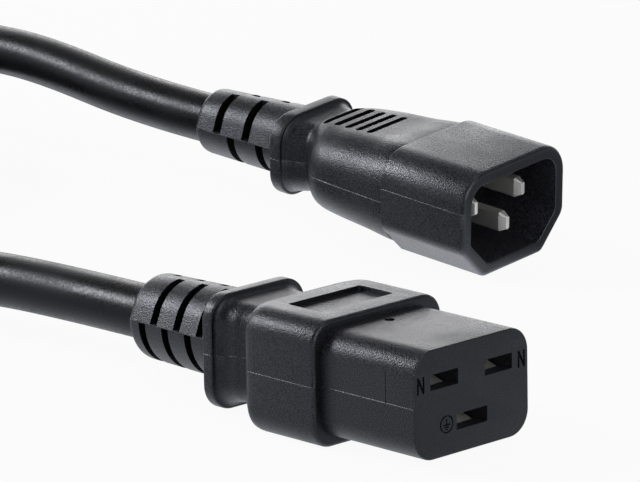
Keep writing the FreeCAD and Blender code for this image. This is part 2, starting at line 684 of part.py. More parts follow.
def cord_pieces():
    ahead = Vector(COIL_LEAD, 0, 0)
    along = Vector(RUN_END, 0, 0)
    enter = coil_spot(0, COIL_R, CORD_R + FLOOR_GAP) + ahead
    leave = coil_spot(math.pi, COIL_R, CORD_R + FLOOR_GAP + LAYERS * CORD_D) + ahead
    out_c19 = [C19_PLACE.multVec(at(TOTAL_C19 + run)) for run in (0, RUN_END)]
    out_c14 = [C14_PLACE.multVec(drooped_spot(C14_TAIL, at(TOTAL_C14 + run)))
               for run in (RUN_END, 0)]
    runs = {"cord_run_c19": out_c19 + [Vector(*p) for p in RUN_C19_POINTS] + [enter + along, enter],
            "cord_run_c14": [leave, leave + along] + out_c14}
    pieces = {"cord_coil": coil()}
    for name, points in runs.items():
        pieces[name] = tube(points, CORD_R)
        report_route(name, points, pieces[name])
    return pieces


# ---------------------------------------------------------------- write
def main():
    os.makedirs("parts", exist_ok=True)
    pieces = {}
    for name, shape in c19_pieces().items():
        pieces[name] = placed(shape, C19_PLACE)
    for name, shape in c14_pieces().items():
        pieces[name] = placed(shape, C14_PLACE)
    pieces.update(cord_pieces())
    for name, shape in pieces.items():
        shape.exportStep("parts/%s.step" % name)
        print(name, "solids", len(shape.Solids), "valid", shape.isValid(),
              "volume", round(shape.Volume, 1))


def placed(shape, place):
    moved = shape.copy()
    moved.Placement = place.multiply(moved.Placement)
    return moved


main()
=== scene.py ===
"""Moulded power cord with a C19 connector in front and its C14 plug behind.

Metres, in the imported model's frame: +X out of the connector's face, +Z up, the floor at
Z = 0.  Values named _MM are millimetres, as a mould maker would give them.
"""
import json
import math
from collections import namedtuple

import bmesh
import bpy
import numpy as np
from mathutils import Matrix, Vector


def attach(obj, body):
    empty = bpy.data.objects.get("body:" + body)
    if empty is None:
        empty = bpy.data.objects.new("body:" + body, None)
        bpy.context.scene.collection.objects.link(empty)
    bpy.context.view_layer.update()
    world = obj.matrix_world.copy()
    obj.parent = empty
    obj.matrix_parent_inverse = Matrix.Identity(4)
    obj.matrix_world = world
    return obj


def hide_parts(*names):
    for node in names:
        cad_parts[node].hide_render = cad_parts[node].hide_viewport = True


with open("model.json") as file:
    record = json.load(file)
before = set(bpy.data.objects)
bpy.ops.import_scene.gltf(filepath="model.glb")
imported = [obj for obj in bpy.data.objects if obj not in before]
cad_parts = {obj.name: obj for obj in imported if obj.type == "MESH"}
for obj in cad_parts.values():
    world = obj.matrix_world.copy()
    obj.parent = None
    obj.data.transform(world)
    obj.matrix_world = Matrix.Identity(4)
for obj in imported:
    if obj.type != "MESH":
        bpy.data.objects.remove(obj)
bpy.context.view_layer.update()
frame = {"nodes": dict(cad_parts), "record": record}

MM = 0.001

# ---------------------------------------------------------------- camera
AIM_MM = (-57.0, 57.5, 11.2)        # between the two ends
CAMERA_DISTANCE_MM = 981.5
CAMERA_AZIMUTH = -43.79             # degrees from +X towards +Y
CAMERA_RISE = 13.92                 # degrees above the floor
CAMERA_ROLL = -1.13                 # degrees, about the line of sight
CAMERA_REACH = 20.0                 # metres
LENS_MM = 292.5
SENSOR_MM = 36.0

# ---------------------------------------------------------------- C19 moulding, in mm
# A section is (width, height, corner, lift of its middle above the axis), and an _EDGE is
# the rounding of an edge.
NOSE = (27.5, 19.1, 4.4, 0.0)
NOSE_LENGTH = 22.3
NOSE_EDGE = 0.25
GRIP = (31.1, 22.4, 4.2, 0.0)
GRIP_EDGE = 0.7
GRIP_STRAIGHT = 14.6
# distance behind the grip's straight part, then a section, from the grip to the flange
WAIST = [(0.0, 31.1, 22.4, 4.2, 0.0), (1.6, 30.8, 22.3, 4.4, 0.0),
         (3.0, 29.2, 21.9, 5.0, 0.0), (4.5, 25.8, 21.1, 5.4, -0.05),
         (6.0, 21.8, 20.0, 5.4, -0.15), (7.4, 18.8, 18.7, 4.8, -0.25),
         (8.8, 17.5, 17.8, 4.2, -0.35), (10.2, 18.0, 17.7, 4.1, -0.4),
         (11.6, 18.8, 17.9, 4.1, -0.45), (13.0, 19.2, 18.1, 4.1, -0.5),
         (14.2, 19.9, 18.5, 4.2, -0.55), (14.9, 20.9, 19.1, 4.3, -0.55),
         (15.2, 21.9, 19.9, 4.4, -0.55)]
FLANGE = (22.7, 20.8, 4.6, -0.55)
FLANGE_THICK = 2.4
FLANGE_EDGE = 0.35
BOOT_EDGE = 1.4
BOOT_SPINE = 1.2                    # solid band between the slots, above and below
BOOT_CROWN_RADIUS = 0.94            # over half the boot's height
BOOT_CROWN_TURN = 67.0              # degrees the crown turns either way from the top
BOOT_SLOT_GAP = 0.1                 # between a slot and the line along the boot
BOOT_LINE_PROUD = 0.06              # that line, the mould's parting
BOOT_LINE_THICK = 0.16
BOOT_LINE_CORNER = 0.05
BOOT_LINE_FORWARD = 0.02            # keeps its end clear of the boot's own
BOOT_ROOT = 1.2                     # of a boot inside its flange
# first: middle of the first slot, behind the flange; lead: 1 or -1, which quarters start
# at first and not half a pitch on; rise: of the boot's line above its axis
Boot = namedtuple("Boot", "length front_d rear_d slots pitch slot_width first lead rise")
BOOT = Boot(23.7, 16.8, 15.6, 3, 6.1, 1.8, 4.3, 1, 0.9)
BLADE_SLOTS = [(6.5, 3.9, 6.6), (-6.5, 3.9, 6.6), (0.0, -4.1, 7.4)]    # y, z, width
SLOT_HEIGHT = 2.75
SKIN = 1.85                         # over the contact carrier
CARRIER_LENGTH = 21.8               # with its cap
CARRIER_CORNER = 2.8
JACKET_FRONT = 42.8                 # where the cord's jacket starts, behind the face
PLATE = (4.8, 8.4, 17.4, 0.9, 0.5)  # from the collar, length, width, depth, corner
PIN_HOLE = (2.9, 1.8)               # from the collar, diameter
PIN_HOLE_PAST = 0.3                 # how far it goes on below the skin
WITNESS = (6.7, 0.14, 0.09, 8.2)    # line of the nose insert: back, width, depth, height

# ---------------------------------------------------------------- C14 moulding, in mm
# distance behind the shroud, then a section, from the shroud to the flange
PLUG_WAIST = [(0.0, 29.4, 20.2, 8.0, 0.6), (7.5, 28.5, 18.9, 7.8, 0.5),
              (15.0, 27.6, 17.9, 7.6, 0.45), (18.0, 26.9, 17.5, 7.6, 0.4),
              (20.5, 25.0, 17.35, 7.4, 0.4), (22.3, 22.0, 17.25, 7.0, 0.4),
              (23.5, 19.2, 17.0, 6.2, 0.4), (24.5, 17.2, 15.8, 5.2, 0.4),
              (25.4, 16.5, 14.5, 4.4, 0.38), (26.5, 17.4, 14.2, 4.2, 0.36),
              (27.5, 18.3, 14.4, 4.2, 0.36), (28.5, 18.8, 14.7, 4.2, 0.34),
              (29.3, 19.6, 15.0, 4.4, 0.34), (29.85, 21.0, 15.8, 4.9, 0.34)]
PLUG_LIFT = 0.56                    # of the boot and its bore above the plug's axis
PLUG_FLANGE = (22.3, 16.8, 5.4, 0.34)
PLUG_FLANGE_THICK = 2.7
PLUG_BOOT = Boot(24.6, 15.0, 13.2, 2, 7.9, 2.05, 6.3, -1, 0.35)
PLUG_DROOP = 3.0                    # degrees, of the boot from the plug's axis
PLUG_BORE_BACK = 27.1               # shroud to bore, where the boot starts to droop
GROOVES = (5, 2.8, 1.5, 11.4, 1.0, 11.6)    # count, pitch, width, length, depth, first back
SHROUD_LENGTH = 20.9
SHROUD = (30.4, 21.75, 6.5, 6.75)   # width, height, chamfers across and up
SHROUD_ROUNDS = (6.4, 3.0, 2.2)     # upper corners, upper and lower ends of the chamfers
SHROUD_WALL = 2.55
SHROUD_DEPTH = 17.6
SHROUD_RIM = 0.9
SHROUD_LIP = 0.3                    # rounding of the rim's inner edge
SHROUD_HEEL = 0.3                   # rounding of its rear edge
TANG_INSET = 3.2                    # of the tang that the moulding grips
TANG_LENGTH = 5.0
PLUG_PLACE_MM = (-43.85, 96.7, 11.7)        # middle of the shroud's front
PLUG_YAW = 4.4                      # degrees, as the next two
PLUG_NOSE_DOWN = 6.5
PLUG_ROLL = 5.4

# ---------------------------------------------------------------- mould marks, in mm
SCAR_HALF = 0.09                    # line where the mould's halves met: half its width
SCAR_PROUD = 0.055
SCAR_SHARE = 0.2                    # most of a side that its half may take
SCAR_SIDE = 1.0                     # shortest side that has one
SCAR_FACING = 0.9                   # least share of Y in such a side's direction
PLUG_SCAR_RISE = 0.1                # above the middle of the side
SHROUD_SCAR_RISE = 3.0
MARK_DEPTH = 0.5                    # of the signs beside the blade slots
LETTER = (1.75, 3.0, 0.42, 1.1)     # width, height, stroke, height of the slanted stroke
LETTER_SPOTS = [(-12.1, 3.85), (12.1, 3.75)]
EARTH_SPOT = (-6.08, -4.0)
EARTH_RING = (1.6, 0.28)            # radius, stroke
# middle across and up, width, height
EARTH_BARS = [(0.0, 0.48, 0.26, 0.9), (0.0, -0.12, 1.7, 0.26), (0.0, -0.52, 1.1, 0.24),
              (0.0, -0.9, 0.5, 0.24)]

# ---------------------------------------------------------------- meshing, in mm
ARC_STEPS = 12                      # round a corner
EDGE_STEPS = 5                      # points across a rounded edge
WAIST_STEPS = 60                    # along a waist
RING_STEPS = 48                     # round the earth sign
SIDE_ENDS = (0.04, 0.96)            # share of a side at its first and last point
CUT_OUT = 1.0                       # how far cutting shapes start outside the solid
MARK_OUT = 0.5                      # the same for the signs
GROOVE_OUT = 2.0                    # and for the grip grooves
CUT_IN = 0.5                        # of the blade slots past the skin
SAME_POINT_M = 1e-7                 # points closer than this become one
SHARP = 30.0                        # degrees between faces that meet in a sharp edge

# ---------------------------------------------------------------- cord
CORD_D_MM = 10.0
FLOOR_GAP_MM = 0.2                  # under the coil
C19_EXIT_MM = (-39.15, 0.0, 11.2)   # where the cord leaves the C19 end
C19_ROUTE_MM = [(-59.15, 0.0, 11.2), (-86.0, -0.6, 10.7), (-113.0, -6.5, 9.2),
                (-143.0, -17.5, 6.7)]
C14_EXIT_MM = (-121.6, 90.81, 19.55)
C14_ROUTE_MM = [(-141.51, 89.38, 20.78)]
COIL_MM = (-232.0, 32.5)            # middle of the coil
COIL_R_MM = 57.5                    # middle of its outer turns
COIL_LEAD_MM = 38.0                 # straight stretch before and after the coil
RUN_END_MM = 20.0                   # from there to the route's next point
TURNS = 3.5
POINTS_PER_TURN = 16
# where the coil changes its course, start and end in turns
COIL_IN = (0.83, 0.99)
COIL_CLIMB = (1.64, 1.84)
COIL_OUT = (2.48, 2.66)
COIL_LEAVE = (3.28, 3.48)


def smooth_step(x, start, end):
    """0 before start, 1 after end, a cosine between."""
    return 0.5 - 0.5 * np.cos(np.pi * np.clip((x - start) / (end - start), 0.0, 1.0))


def coil_points():
    """Turns about the coil's middle; angle grows clockwise seen from above.

    The outer turn lies on the floor, steps in by a cord's width, climbs one cord's
    height, steps out again and climbs once more to leave over the others.
    """
    turn = np.arange(1, int(TURNS * POINTS_PER_TURN)) / POINTS_PER_TURN
    inward = smooth_step(turn, *COIL_IN) - smooth_step(turn, *COIL_OUT)
    layer = smooth_step(turn, *COIL_CLIMB) + smooth_step(turn, *COIL_LEAVE)
    radius = (COIL_R_MM - CORD_D_MM * inward) / math.cos(math.pi / POINTS_PER_TURN)
    angle = 2 * np.pi * turn
    return np.column_stack([COIL_MM[0] - radius * np.sin(angle),
                            COIL_MM[1] - radius * np.cos(angle),
                            CORD_D_MM / 2 + FLOOR_GAP_MM + CORD_D_MM * layer])


def cord_route():
    """The cord's points from the C19 end to the C14 end, in metres."""
    low = CORD_D_MM / 2 + FLOOR_GAP_MM
    high = low + 2 * CORD_D_MM
    front = COIL_MM[0] + COIL_LEAD_MM
    near, far = COIL_MM[1] - COIL_R_MM, COIL_MM[1] + COIL_R_MM
    points = [C19_EXIT_MM, *C19_ROUTE_MM,
              (front + RUN_END_MM, near, low), (front, near, low), (COIL_MM[0], near, low),
              *coil_points(),
              (COIL_MM[0], far, high), (front, far, high), (front + RUN_END_MM, far, high),
              *C14_ROUTE_MM, C14_EXIT_MM]
    return np.array(points) * MM


def build_cord(material, plug):
    """One smooth NURBS line with the route's points as its control points.

    It ends in the plug.
    """
    route = cord_route()
    curve = bpy.data.curves.new("cord", "CURVE")
    curve.dimensions = "3D"
    spline = curve.splines.new("NURBS")
    spline.points.add(len(route) - 1)
    spline.points.foreach_set("co", np.column_stack([route, np.ones(len(route))]).ravel())
    spline.order_u = 3
    spline.use_endpoint_u = True
    spline.resolution_u = 8
    curve.bevel_depth = CORD_D_MM / 2 * MM
    curve.bevel_resolution = 10
    curve.materials.append(material)
    cord = bpy.data.objects.new("power_cord", curve)
    bpy.context.collection.objects.link(cord)
    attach(cord, "root")
    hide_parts("cord_run_c19", "cord_coil", "cord_run_c14")
    plug = plug + [node for name, node in frame["nodes"].items() if name.startswith("c14_")]


# ---------------------------------------------------------------- surfaces
def section(back, size, inset=0.0):
    """Rows (back, width, height, corner, lift): one size all round less an inset."""
    back, inset = np.broadcast_arrays(np.atleast_1d(back).astype(float), inset)
    width, height, corner, lift = size
    return np.column_stack([back, width - 2 * inset, height - 2 * inset, corner - inset,
                            np.full(len(back), lift)])


def quarter(radius):
    """A quarter turn's (radius times sine, radius less radius times cosine)."""
    turn = np.linspace(0, np.pi / 2, EDGE_STEPS)
    return radius * np.sin(turn), radius * (1 - np.cos(turn))


def front_edge(back, size, radius):
    """Rounded front edge: it goes back by radius less its cosine, and out by its sine."""
    out, along = quarter(radius)
    return section(back + along, size, radius - out)


def rear_edge(back, size, radius):
    """Rounded rear edge: it goes back by the sine, and in by radius less its cosine."""
    along, inward = quarter(radius)
    return section(back - radius + along, size, inward)


def waist(back, table):
    """Smooth sections through a table's rows, evenly spaced along the axis.

    Between two rows each size is a cubic in the share of the way: its ends are the rows
    and its slopes there are the harmonic mean of the slopes on both sides, or level
    where those differ in sign, so that no size passes beyond its rows.  It starts level,
    and ends with 1.5 times the last stretch's slope less half the slope a row before.
    """
    rows = np.array(table, float)
    step = np.diff(rows[:, 0])[:, None]
    rise = np.diff(rows[:, 1:], axis=0) / step
    same = rise[:-1] * rise[1:] > 0
    total = np.where(same, rise[:-1] + rise[1:], 1.0)
    slope = np.zeros_like(rows[:, 1:])
    slope[1:-1] = np.where(same, 2 * rise[:-1] * rise[1:] / total, 0.0)
    slope[-1] = 1.5 * rise[-1] - 0.5 * slope[-2]
    along = np.linspace(rows[0, 0], rows[-1, 0], WAIST_STEPS + 1)
    i = np.clip(np.searchsorted(rows[:, 0], along) - 1, 0, len(step) - 1)
    t = ((along - rows[i, 0]) / step[i, 0])[:, None]
    size = (rows[i, 1:] * (1 + 2 * t) * (1 - t) ** 2 + rows[i + 1, 1:] * t ** 2 * (3 - 2 * t)
            + step[i] * (slope[i] * t * (1 - t) ** 2 - slope[i + 1] * t ** 2 * (1 - t)))
    return np.column_stack([back + along, size])


def sides_out(corners):
    """Outward direction of each side, from the corner before it to its own corner."""
    run = corners - np.roll(corners, 1, axis=0)
    return np.column_stack([run[:, 1], -run[:, 0]]) / np.linalg.norm(run, axis=1)[:, None]


def rounded_rings(back, corners, radii, scar_rise=None):
    """Rings of a rounded polygon square to the axis, one for each distance back.

    A round's middle is its corner less its radius times k, with k the sum of the two
    sides' outward directions over one plus their dot product; the round is that middle
    plus radius times (cosine, sine) of an angle that turns from one direction to the
    other.  Straight sides join the rounds.  With a scar, the side that faces +Y or -Y
    has a ridge, its crest that far above the side's middle.
    """
    before = sides_out(corners[0])
    after = np.roll(before, -1, axis=0)
    dot = (before * after).sum(1)
    k = (before + after) / (1 + dot)[:, None]
    middle = corners - radii[..., None] * k
    angle = (np.arctan2(before[:, 1], before[:, 0])[:, None]
             + np.arccos(dot)[:, None] * np.linspace(0, 1, ARC_STEPS + 1))
    ray = np.stack([np.cos(angle), np.sin(angle)], -1)
    rounds = middle[:, :, None] + radii[:, :, None, None] * ray
    start, run = rounds[:, :, -1], np.roll(rounds[:, :, 0], -1, axis=1) - rounds[:, :, -1]
    length = np.maximum(np.linalg.norm(run, axis=-1), 1e-6)     # never divides by 0
    steep = np.where(np.abs(after[:, 0]) > SCAR_FACING, np.sign(after[:, 0]), 0.0)
    crest = 0.5 + (scar_rise or 0.0) * steep / length
    half = np.minimum(SCAR_HALF / length, SCAR_SHARE)
    first, last = SIDE_ENDS
    share = np.stack([crest * 0 + first, crest * 0.5, crest - half, crest, crest + half,
                      0.5 + crest * 0.5, crest * 0 + last], -1)
    straight = start[:, :, None] + run[:, :, None] * share[..., None]
    if scar_rise is not None:
        proud = SCAR_PROUD * (length > SCAR_SIDE) * (steep != 0)
        straight[:, :, 3] += proud[..., None] * after
    ring = np.concatenate([rounds, straight], axis=2)
    ring = ring.reshape(len(ring), -1, 2)
    x = np.broadcast_to(-np.asarray(back, float)[:, None, None], ring.shape[:2] + (1,))
    return np.concatenate([x, ring], axis=-1)


def bar_rings(rows, scar_rise=None):
    """Rings of rounded rectangles from rows of (back, width, height, corner, lift)."""
    back, width, height, corner, lift = rows.T
    sign = np.array([(1, 1), (-1, 1), (-1, -1), (1, -1)])
    half = np.column_stack([width, height])[:, None] / 2
    corners = sign * half + np.column_stack([lift * 0, lift])[:, None]
    return rounded_rings(back, corners, np.repeat(corner[:, None], 4, 1), scar_rise)


def shroud_rings(back, inset, scar_rise=None):
    """Rings of the inlet's outline, each side moved in by an inset.

    A corner moves in by the inset times k, as its round's middle does; the upper rounds
    lose the inset, those at the chamfers' upper ends half of it, the lower ones nothing.
    """
    width, height, across, up = SHROUD
    w, h = width / 2, height / 2
    corners = np.array([(w, h), (-w, h), (-w, up - h), (across - w, -h), (w - across, -h),
                        (w, up - h)])
    before = sides_out(corners)
    after = np.roll(before, -1, axis=0)
    k = (before + after) / (1 + (before * after).sum(1))[:, None]
    inset = np.asarray(inset, float)[:, None]
    upper, high, low = SHROUD_ROUNDS
    radii = np.array([upper, upper, high, low, low, high]) - inset * [1, 1, 0.5, 0, 0, 0.5]
    return rounded_rings(back, corners - inset[..., None] * k, radii, scar_rise)


def shell_of(rings):
    """Points and faces of a closed surface: quads between rings, one face on each end."""
    rows, count = rings.shape[:2]
    i, j = np.meshgrid(np.arange(rows - 1), np.arange(count), indexing="ij")
    following = (j + 1) % count
    quads = np.stack([i * count + j, (i + 1) * count + j, (i + 1) * count + following,
                      i * count + following], -1).reshape(-1, 4)
    front, rear = np.arange(count), np.arange(count)[::-1] + (rows - 1) * count
    return rings.reshape(-1, 3), quads.tolist() + [front.tolist(), rear.tolist()]


def joined(shells):
    """Several closed surfaces as one set of points and faces."""
    starts = np.cumsum([0] + [len(points) for points, faces in shells])
    faces = [[corner + start for corner in face]
             for (points, faces), start in zip(shells, starts) for face in faces]
    return np.concatenate([points for points, faces in shells]), faces


def boxes(extents):
    """Closed boxes from rows of (back, back, y, y, z, z)."""
    lows_highs = np.asarray(extents, float).reshape(-1, 3, 2)
    pick = np.array([(0, 0, 0), (0, 1, 0), (0, 1, 1), (0, 0, 1),
                     (1, 0, 0), (1, 1, 0), (1, 1, 1), (1, 0, 1)])
    points = lows_highs[:, np.arange(3), pick] * (-1, 1, 1)
    faces = np.array([(0, 1, 2, 3), (7, 6, 5, 4), (0, 4, 5, 1), (1, 5, 6, 2), (2, 6, 7, 3),
                      (3, 7, 4, 0)])
    faces = faces + 8 * np.arange(len(points))[:, None, None]
    return points.reshape(-1, 3), faces.reshape(-1, 4).tolist()


def prism(outline, front, rear):
    """Closed prism of an outline in (y, z) that turns left, between two distances back."""
    outline = np.asarray(outline, float)
    return shell_of(np.stack([np.column_stack([np.full(len(outline), -back), outline])
                              for back in (front, rear)]))


def upright(shell, x):
    """Turns a bar along the axis to stand up at x: its back becomes its height."""
    points, faces = shell
    return np.column_stack([points[:, 2] + x, points[:, 1], -points[:, 0]]), faces


def drooped(shell, back, lift, bend):
    """Turns a shape about a crosswise line on the axis, nose up, and lifts it."""
    points, faces = shell
    x, z = points[:, 0] + back, points[:, 2]
    c, s = math.cos(math.radians(bend)), math.sin(math.radians(bend))
    return np.column_stack([x * c - z * s - back, points[:, 1], x * s + z * c + lift]), faces


def round_bar(front, rear, diameter):
    """Closed cylinder along the axis, between two distances back."""
    size = (diameter, diameter, diameter / 2, 0.0)
    return shell_of(bar_rings(section([front, rear], size)))


# ---------------------------------------------------------------- mesh pieces
def new_piece(name, shell, place):
    """A mesh from millimetres in an end's own frame, with its place in its points."""
    points, faces = shell
    turn = np.array(place.to_3x3())
    mesh = bpy.data.meshes.new(name)
    mesh.from_pydata(((points @ turn.T + np.array(place.translation)) * MM).tolist(), [], faces)
    solid = bmesh.new()
    solid.from_mesh(mesh)
    bmesh.ops.remove_doubles(solid, verts=solid.verts, dist=SAME_POINT_M)
    bmesh.ops.recalc_face_normals(solid, faces=solid.faces)
    solid.to_mesh(mesh)
    solid.free()
    piece = bpy.data.objects.new(name, mesh)
    bpy.context.collection.objects.link(piece)
    return piece


def shaped(piece, *steps):
    """Joins a piece with others or cuts them out of it, in order; they are used up."""
    for operation, tool in steps:
        change = piece.modifiers.new(operation, "BOOLEAN")
        change.solver = "EXACT"
        change.operation = operation
        change.object = tool
    bpy.context.view_layer.update()
    ready = piece.evaluated_get(bpy.context.evaluated_depsgraph_get())
    mesh = bpy.data.meshes.new_from_object(ready)
    piece.modifiers.clear()
    piece.data = mesh
    for operation, tool in steps:
        bpy.data.objects.remove(tool)


def finished(piece, material, node):
    """Smooth faces, sharp edges and its finish; hides the node that it stands for.

    An attribute marks how much each face looks forward, from the X of its normal.
    """
    mesh = piece.data
    normals = np.empty(3 * len(mesh.polygons))
    mesh.polygons.foreach_get("normal", normals)
    mark = mesh.attributes.new(FRONT_MARK, "FLOAT", "FACE")
    mark.data.foreach_set("value", np.clip((normals[::3] - FRONT_FROM) / FRONT_OVER, 0.0, 1.0))
    mesh.shade_smooth()
    mesh.set_sharp_from_angle(angle=math.radians(SHARP))
    mesh.materials.clear()
    mesh.materials.append(material)
    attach(piece, "root")
    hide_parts(node)
    return piece


def boot_rows(back, boot):
    """Distances back and half heights of a cone with its rear edge rounded."""
    straight = boot.length - BOOT_EDGE
    edge_d = boot.front_d + (boot.rear_d - boot.front_d) * straight / boot.length
    along, inward = quarter(BOOT_EDGE)
    half = np.concatenate([[boot.front_d / 2], edge_d / 2 - inward])
    return np.concatenate([[back - BOOT_ROOT], back + boot.length - BOOT_EDGE + along]), half


def boot_edge(half, boot):
    """Half the boot's width at its line, from half its height."""
    angle = math.radians(BOOT_CROWN_TURN)
    drop = half - BOOT_CROWN_RADIUS * half * (1 - math.cos(angle)) - boot.rise
    return BOOT_CROWN_RADIUS * half * math.sin(angle) + drop / math.tan(angle)


def boot_shell(back, boot):
    """Upper half an arc ending in straight flanks, lower half an ellipse; edges between.

    The arc turns by an angle either way from the top, its radius a share of half the
    height; each flank leaves it on its tangent and ends on the boot's line, a rise above
    the middle.  The lower half reaches from that line as far down as the arc does up.
    """
    backs, half = boot_rows(back, boot)
    edge, half, rise = boot_edge(half, boot)[:, None], half[:, None], boot.rise
    radius = BOOT_CROWN_RADIUS * half
    crown = np.radians(np.linspace(-1, 1, 2 * ARC_STEPS + 1) * -BOOT_CROWN_TURN)
    under = np.linspace(np.pi, 2 * np.pi, 2 * ARC_STEPS + 1)
    y = np.hstack([radius * np.sin(crown), edge * np.cos(under)])
    z = np.hstack([half - radius + radius * np.cos(crown),
                   rise + (half + rise) * np.sin(under)])
    x = np.broadcast_to(-backs[:, None], y.shape)
    return shell_of(np.stack([x, y, z], -1))


def boot_line(back, boot):
    """Thin plate through the boot along its line, a little wider than the boot."""
    backs, half = boot_rows(back, boot)
    width = 2 * (boot_edge(half, boot) + BOOT_LINE_PROUD)
    rest = np.broadcast_to([BOOT_LINE_THICK, BOOT_LINE_CORNER, boot.rise], (len(backs), 3))
    return shell_of(bar_rings(np.column_stack([backs - BOOT_LINE_FORWARD, width, rest])))


def boot_slots(back, boot):
    """Boxes of the staggered slots: each quarter's row starts at once or half a pitch on."""
    side, up, i = [a.ravel() for a in np.meshgrid([-1, 1], [-1, 1], np.arange(boot.slots))]
    late = np.where(side * up * boot.lead < 0, 0.0, boot.pitch / 2)
    start = back + boot.first + late + i * boot.pitch - boot.slot_width / 2
    y = np.sort(np.column_stack([side * BOOT_SPINE / 2, side * boot.front_d]))
    z = np.sort(np.column_stack([boot.rise + up * BOOT_SLOT_GAP, up * boot.front_d]))
    return boxes(np.column_stack([start, start + boot.slot_width, y, z]))


def letter_outline(spot):
    """Capital N turning left round its outline: two upright strokes and a slanted one."""
    width, height, stroke, slant = LETTER
    w, h = width / 2, height / 2
    half = [(-w, -h), (stroke - w, -h), (stroke - w, h - slant), (w - stroke, -h), (w, -h)]
    return np.concatenate([half, -np.array(half)]) + spot


def earth_sign():
    """Ring round a stem and three bars, each shorter than the one above."""
    radius, stroke = EARTH_RING
    turn = np.linspace(0, 2 * np.pi, RING_STEPS, endpoint=False)
    circle = np.column_stack([np.cos(turn), np.sin(turn)])
    front, back, inner = MARK_OUT, -MARK_DEPTH, radius - stroke
    corners = [(front, radius), (back, radius), (back, inner), (front, inner), (front, radius)]
    points, faces = shell_of(np.stack([
        np.column_stack([np.full(RING_STEPS, x), circle * r + EARTH_SPOT])
        for x, r in corners]))
    across, up = EARTH_SPOT
    bars = [(-front, -back, across + y - w / 2, across + y + w / 2,
             up + z - h / 2, up + z + h / 2) for y, z, w, h in EARTH_BARS]
    return joined([(points, faces[:-2]), boxes(bars)])      # the ring needs no end faces


def build_c19(material):
    """Nose, collar, grip, neck and flange in one skin; the boot joined; openings cut."""
    place = Matrix.Translation((-C19_EXIT_MM[0], 0, C19_EXIT_MM[2]))
    collar, end = NOSE_LENGTH, NOSE_LENGTH + GRIP_STRAIGHT
    flange = end + WAIST[-1][0]
    rear = flange + FLANGE_THICK
    rows = [front_edge(0, NOSE, NOSE_EDGE), section(collar, NOSE),
            front_edge(collar, GRIP, GRIP_EDGE), waist(end, WAIST),
            front_edge(flange, FLANGE, FLANGE_EDGE), rear_edge(rear, FLANGE, FLANGE_EDGE)]
    body = new_piece("c19_moulding", shell_of(bar_rings(np.vstack(rows), 0.0)), place)
    boot = new_piece("c19_boot", boot_shell(rear, BOOT), place)
    line = new_piece("c19_boot_line", boot_line(rear, BOOT), place)

    width, height = NOSE[0] - 2 * SKIN, NOSE[1] - 2 * SKIN
    carrier = section([SKIN, SKIN + CARRIER_LENGTH], (width, height, CARRIER_CORNER, 0.0))
    hollows = joined([shell_of(bar_rings(carrier)),
                      round_bar(JACKET_FRONT, rear + BOOT.length + CUT_OUT, CORD_D_MM)])
    slots = boxes([(-CUT_OUT, SKIN + CUT_IN, y - w / 2, y + w / 2,
                    z - SLOT_HEIGHT / 2, z + SLOT_HEIGHT / 2) for y, z, w in BLADE_SLOTS])
    lead, length, across, depth, corner = PLATE
    plate = upright(shell_of(bar_rings(section([GRIP[1] / 2 - depth, GRIP[1]],
                                               (across, length, corner, 0.0)))),
                    -(collar + lead + length / 2))
    lead, diameter = PIN_HOLE
    hole = upright(round_bar(NOSE[1] / 2 - SKIN - PIN_HOLE_PAST, NOSE[1], diameter),
                   lead - collar)
    back, wide, deep, tall = WITNESS
    lines = boxes([(back - wide / 2, back + wide / 2, y - deep, y + deep, 0, tall)
                   for y in (-NOSE[0] / 2, NOSE[0] / 2)])
    letters = [prism(letter_outline(spot), -MARK_OUT, MARK_DEPTH) for spot in LETTER_SPOTS]
    cuts = joined([slots, plate, hole, lines, boot_slots(rear, BOOT), earth_sign(), *letters])
    shaped(body, ("UNION", boot), ("UNION", line),
           ("DIFFERENCE", new_piece("hollows", hollows, place)),
           ("DIFFERENCE", new_piece("cuts", cuts, place)))
    return finished(body, material, "c19_overmould")


def plug_place():
    """The plug's own frame: rolled, nose turned down, then turned to the left."""
    turn = (Matrix.Rotation(math.radians(PLUG_YAW), 4, "Z")
            @ Matrix.Rotation(math.radians(PLUG_NOSE_DOWN), 4, "Y")
            @ Matrix.Rotation(math.radians(PLUG_ROLL), 4, "X"))
    return Matrix.Translation(PLUG_PLACE_MM) @ turn


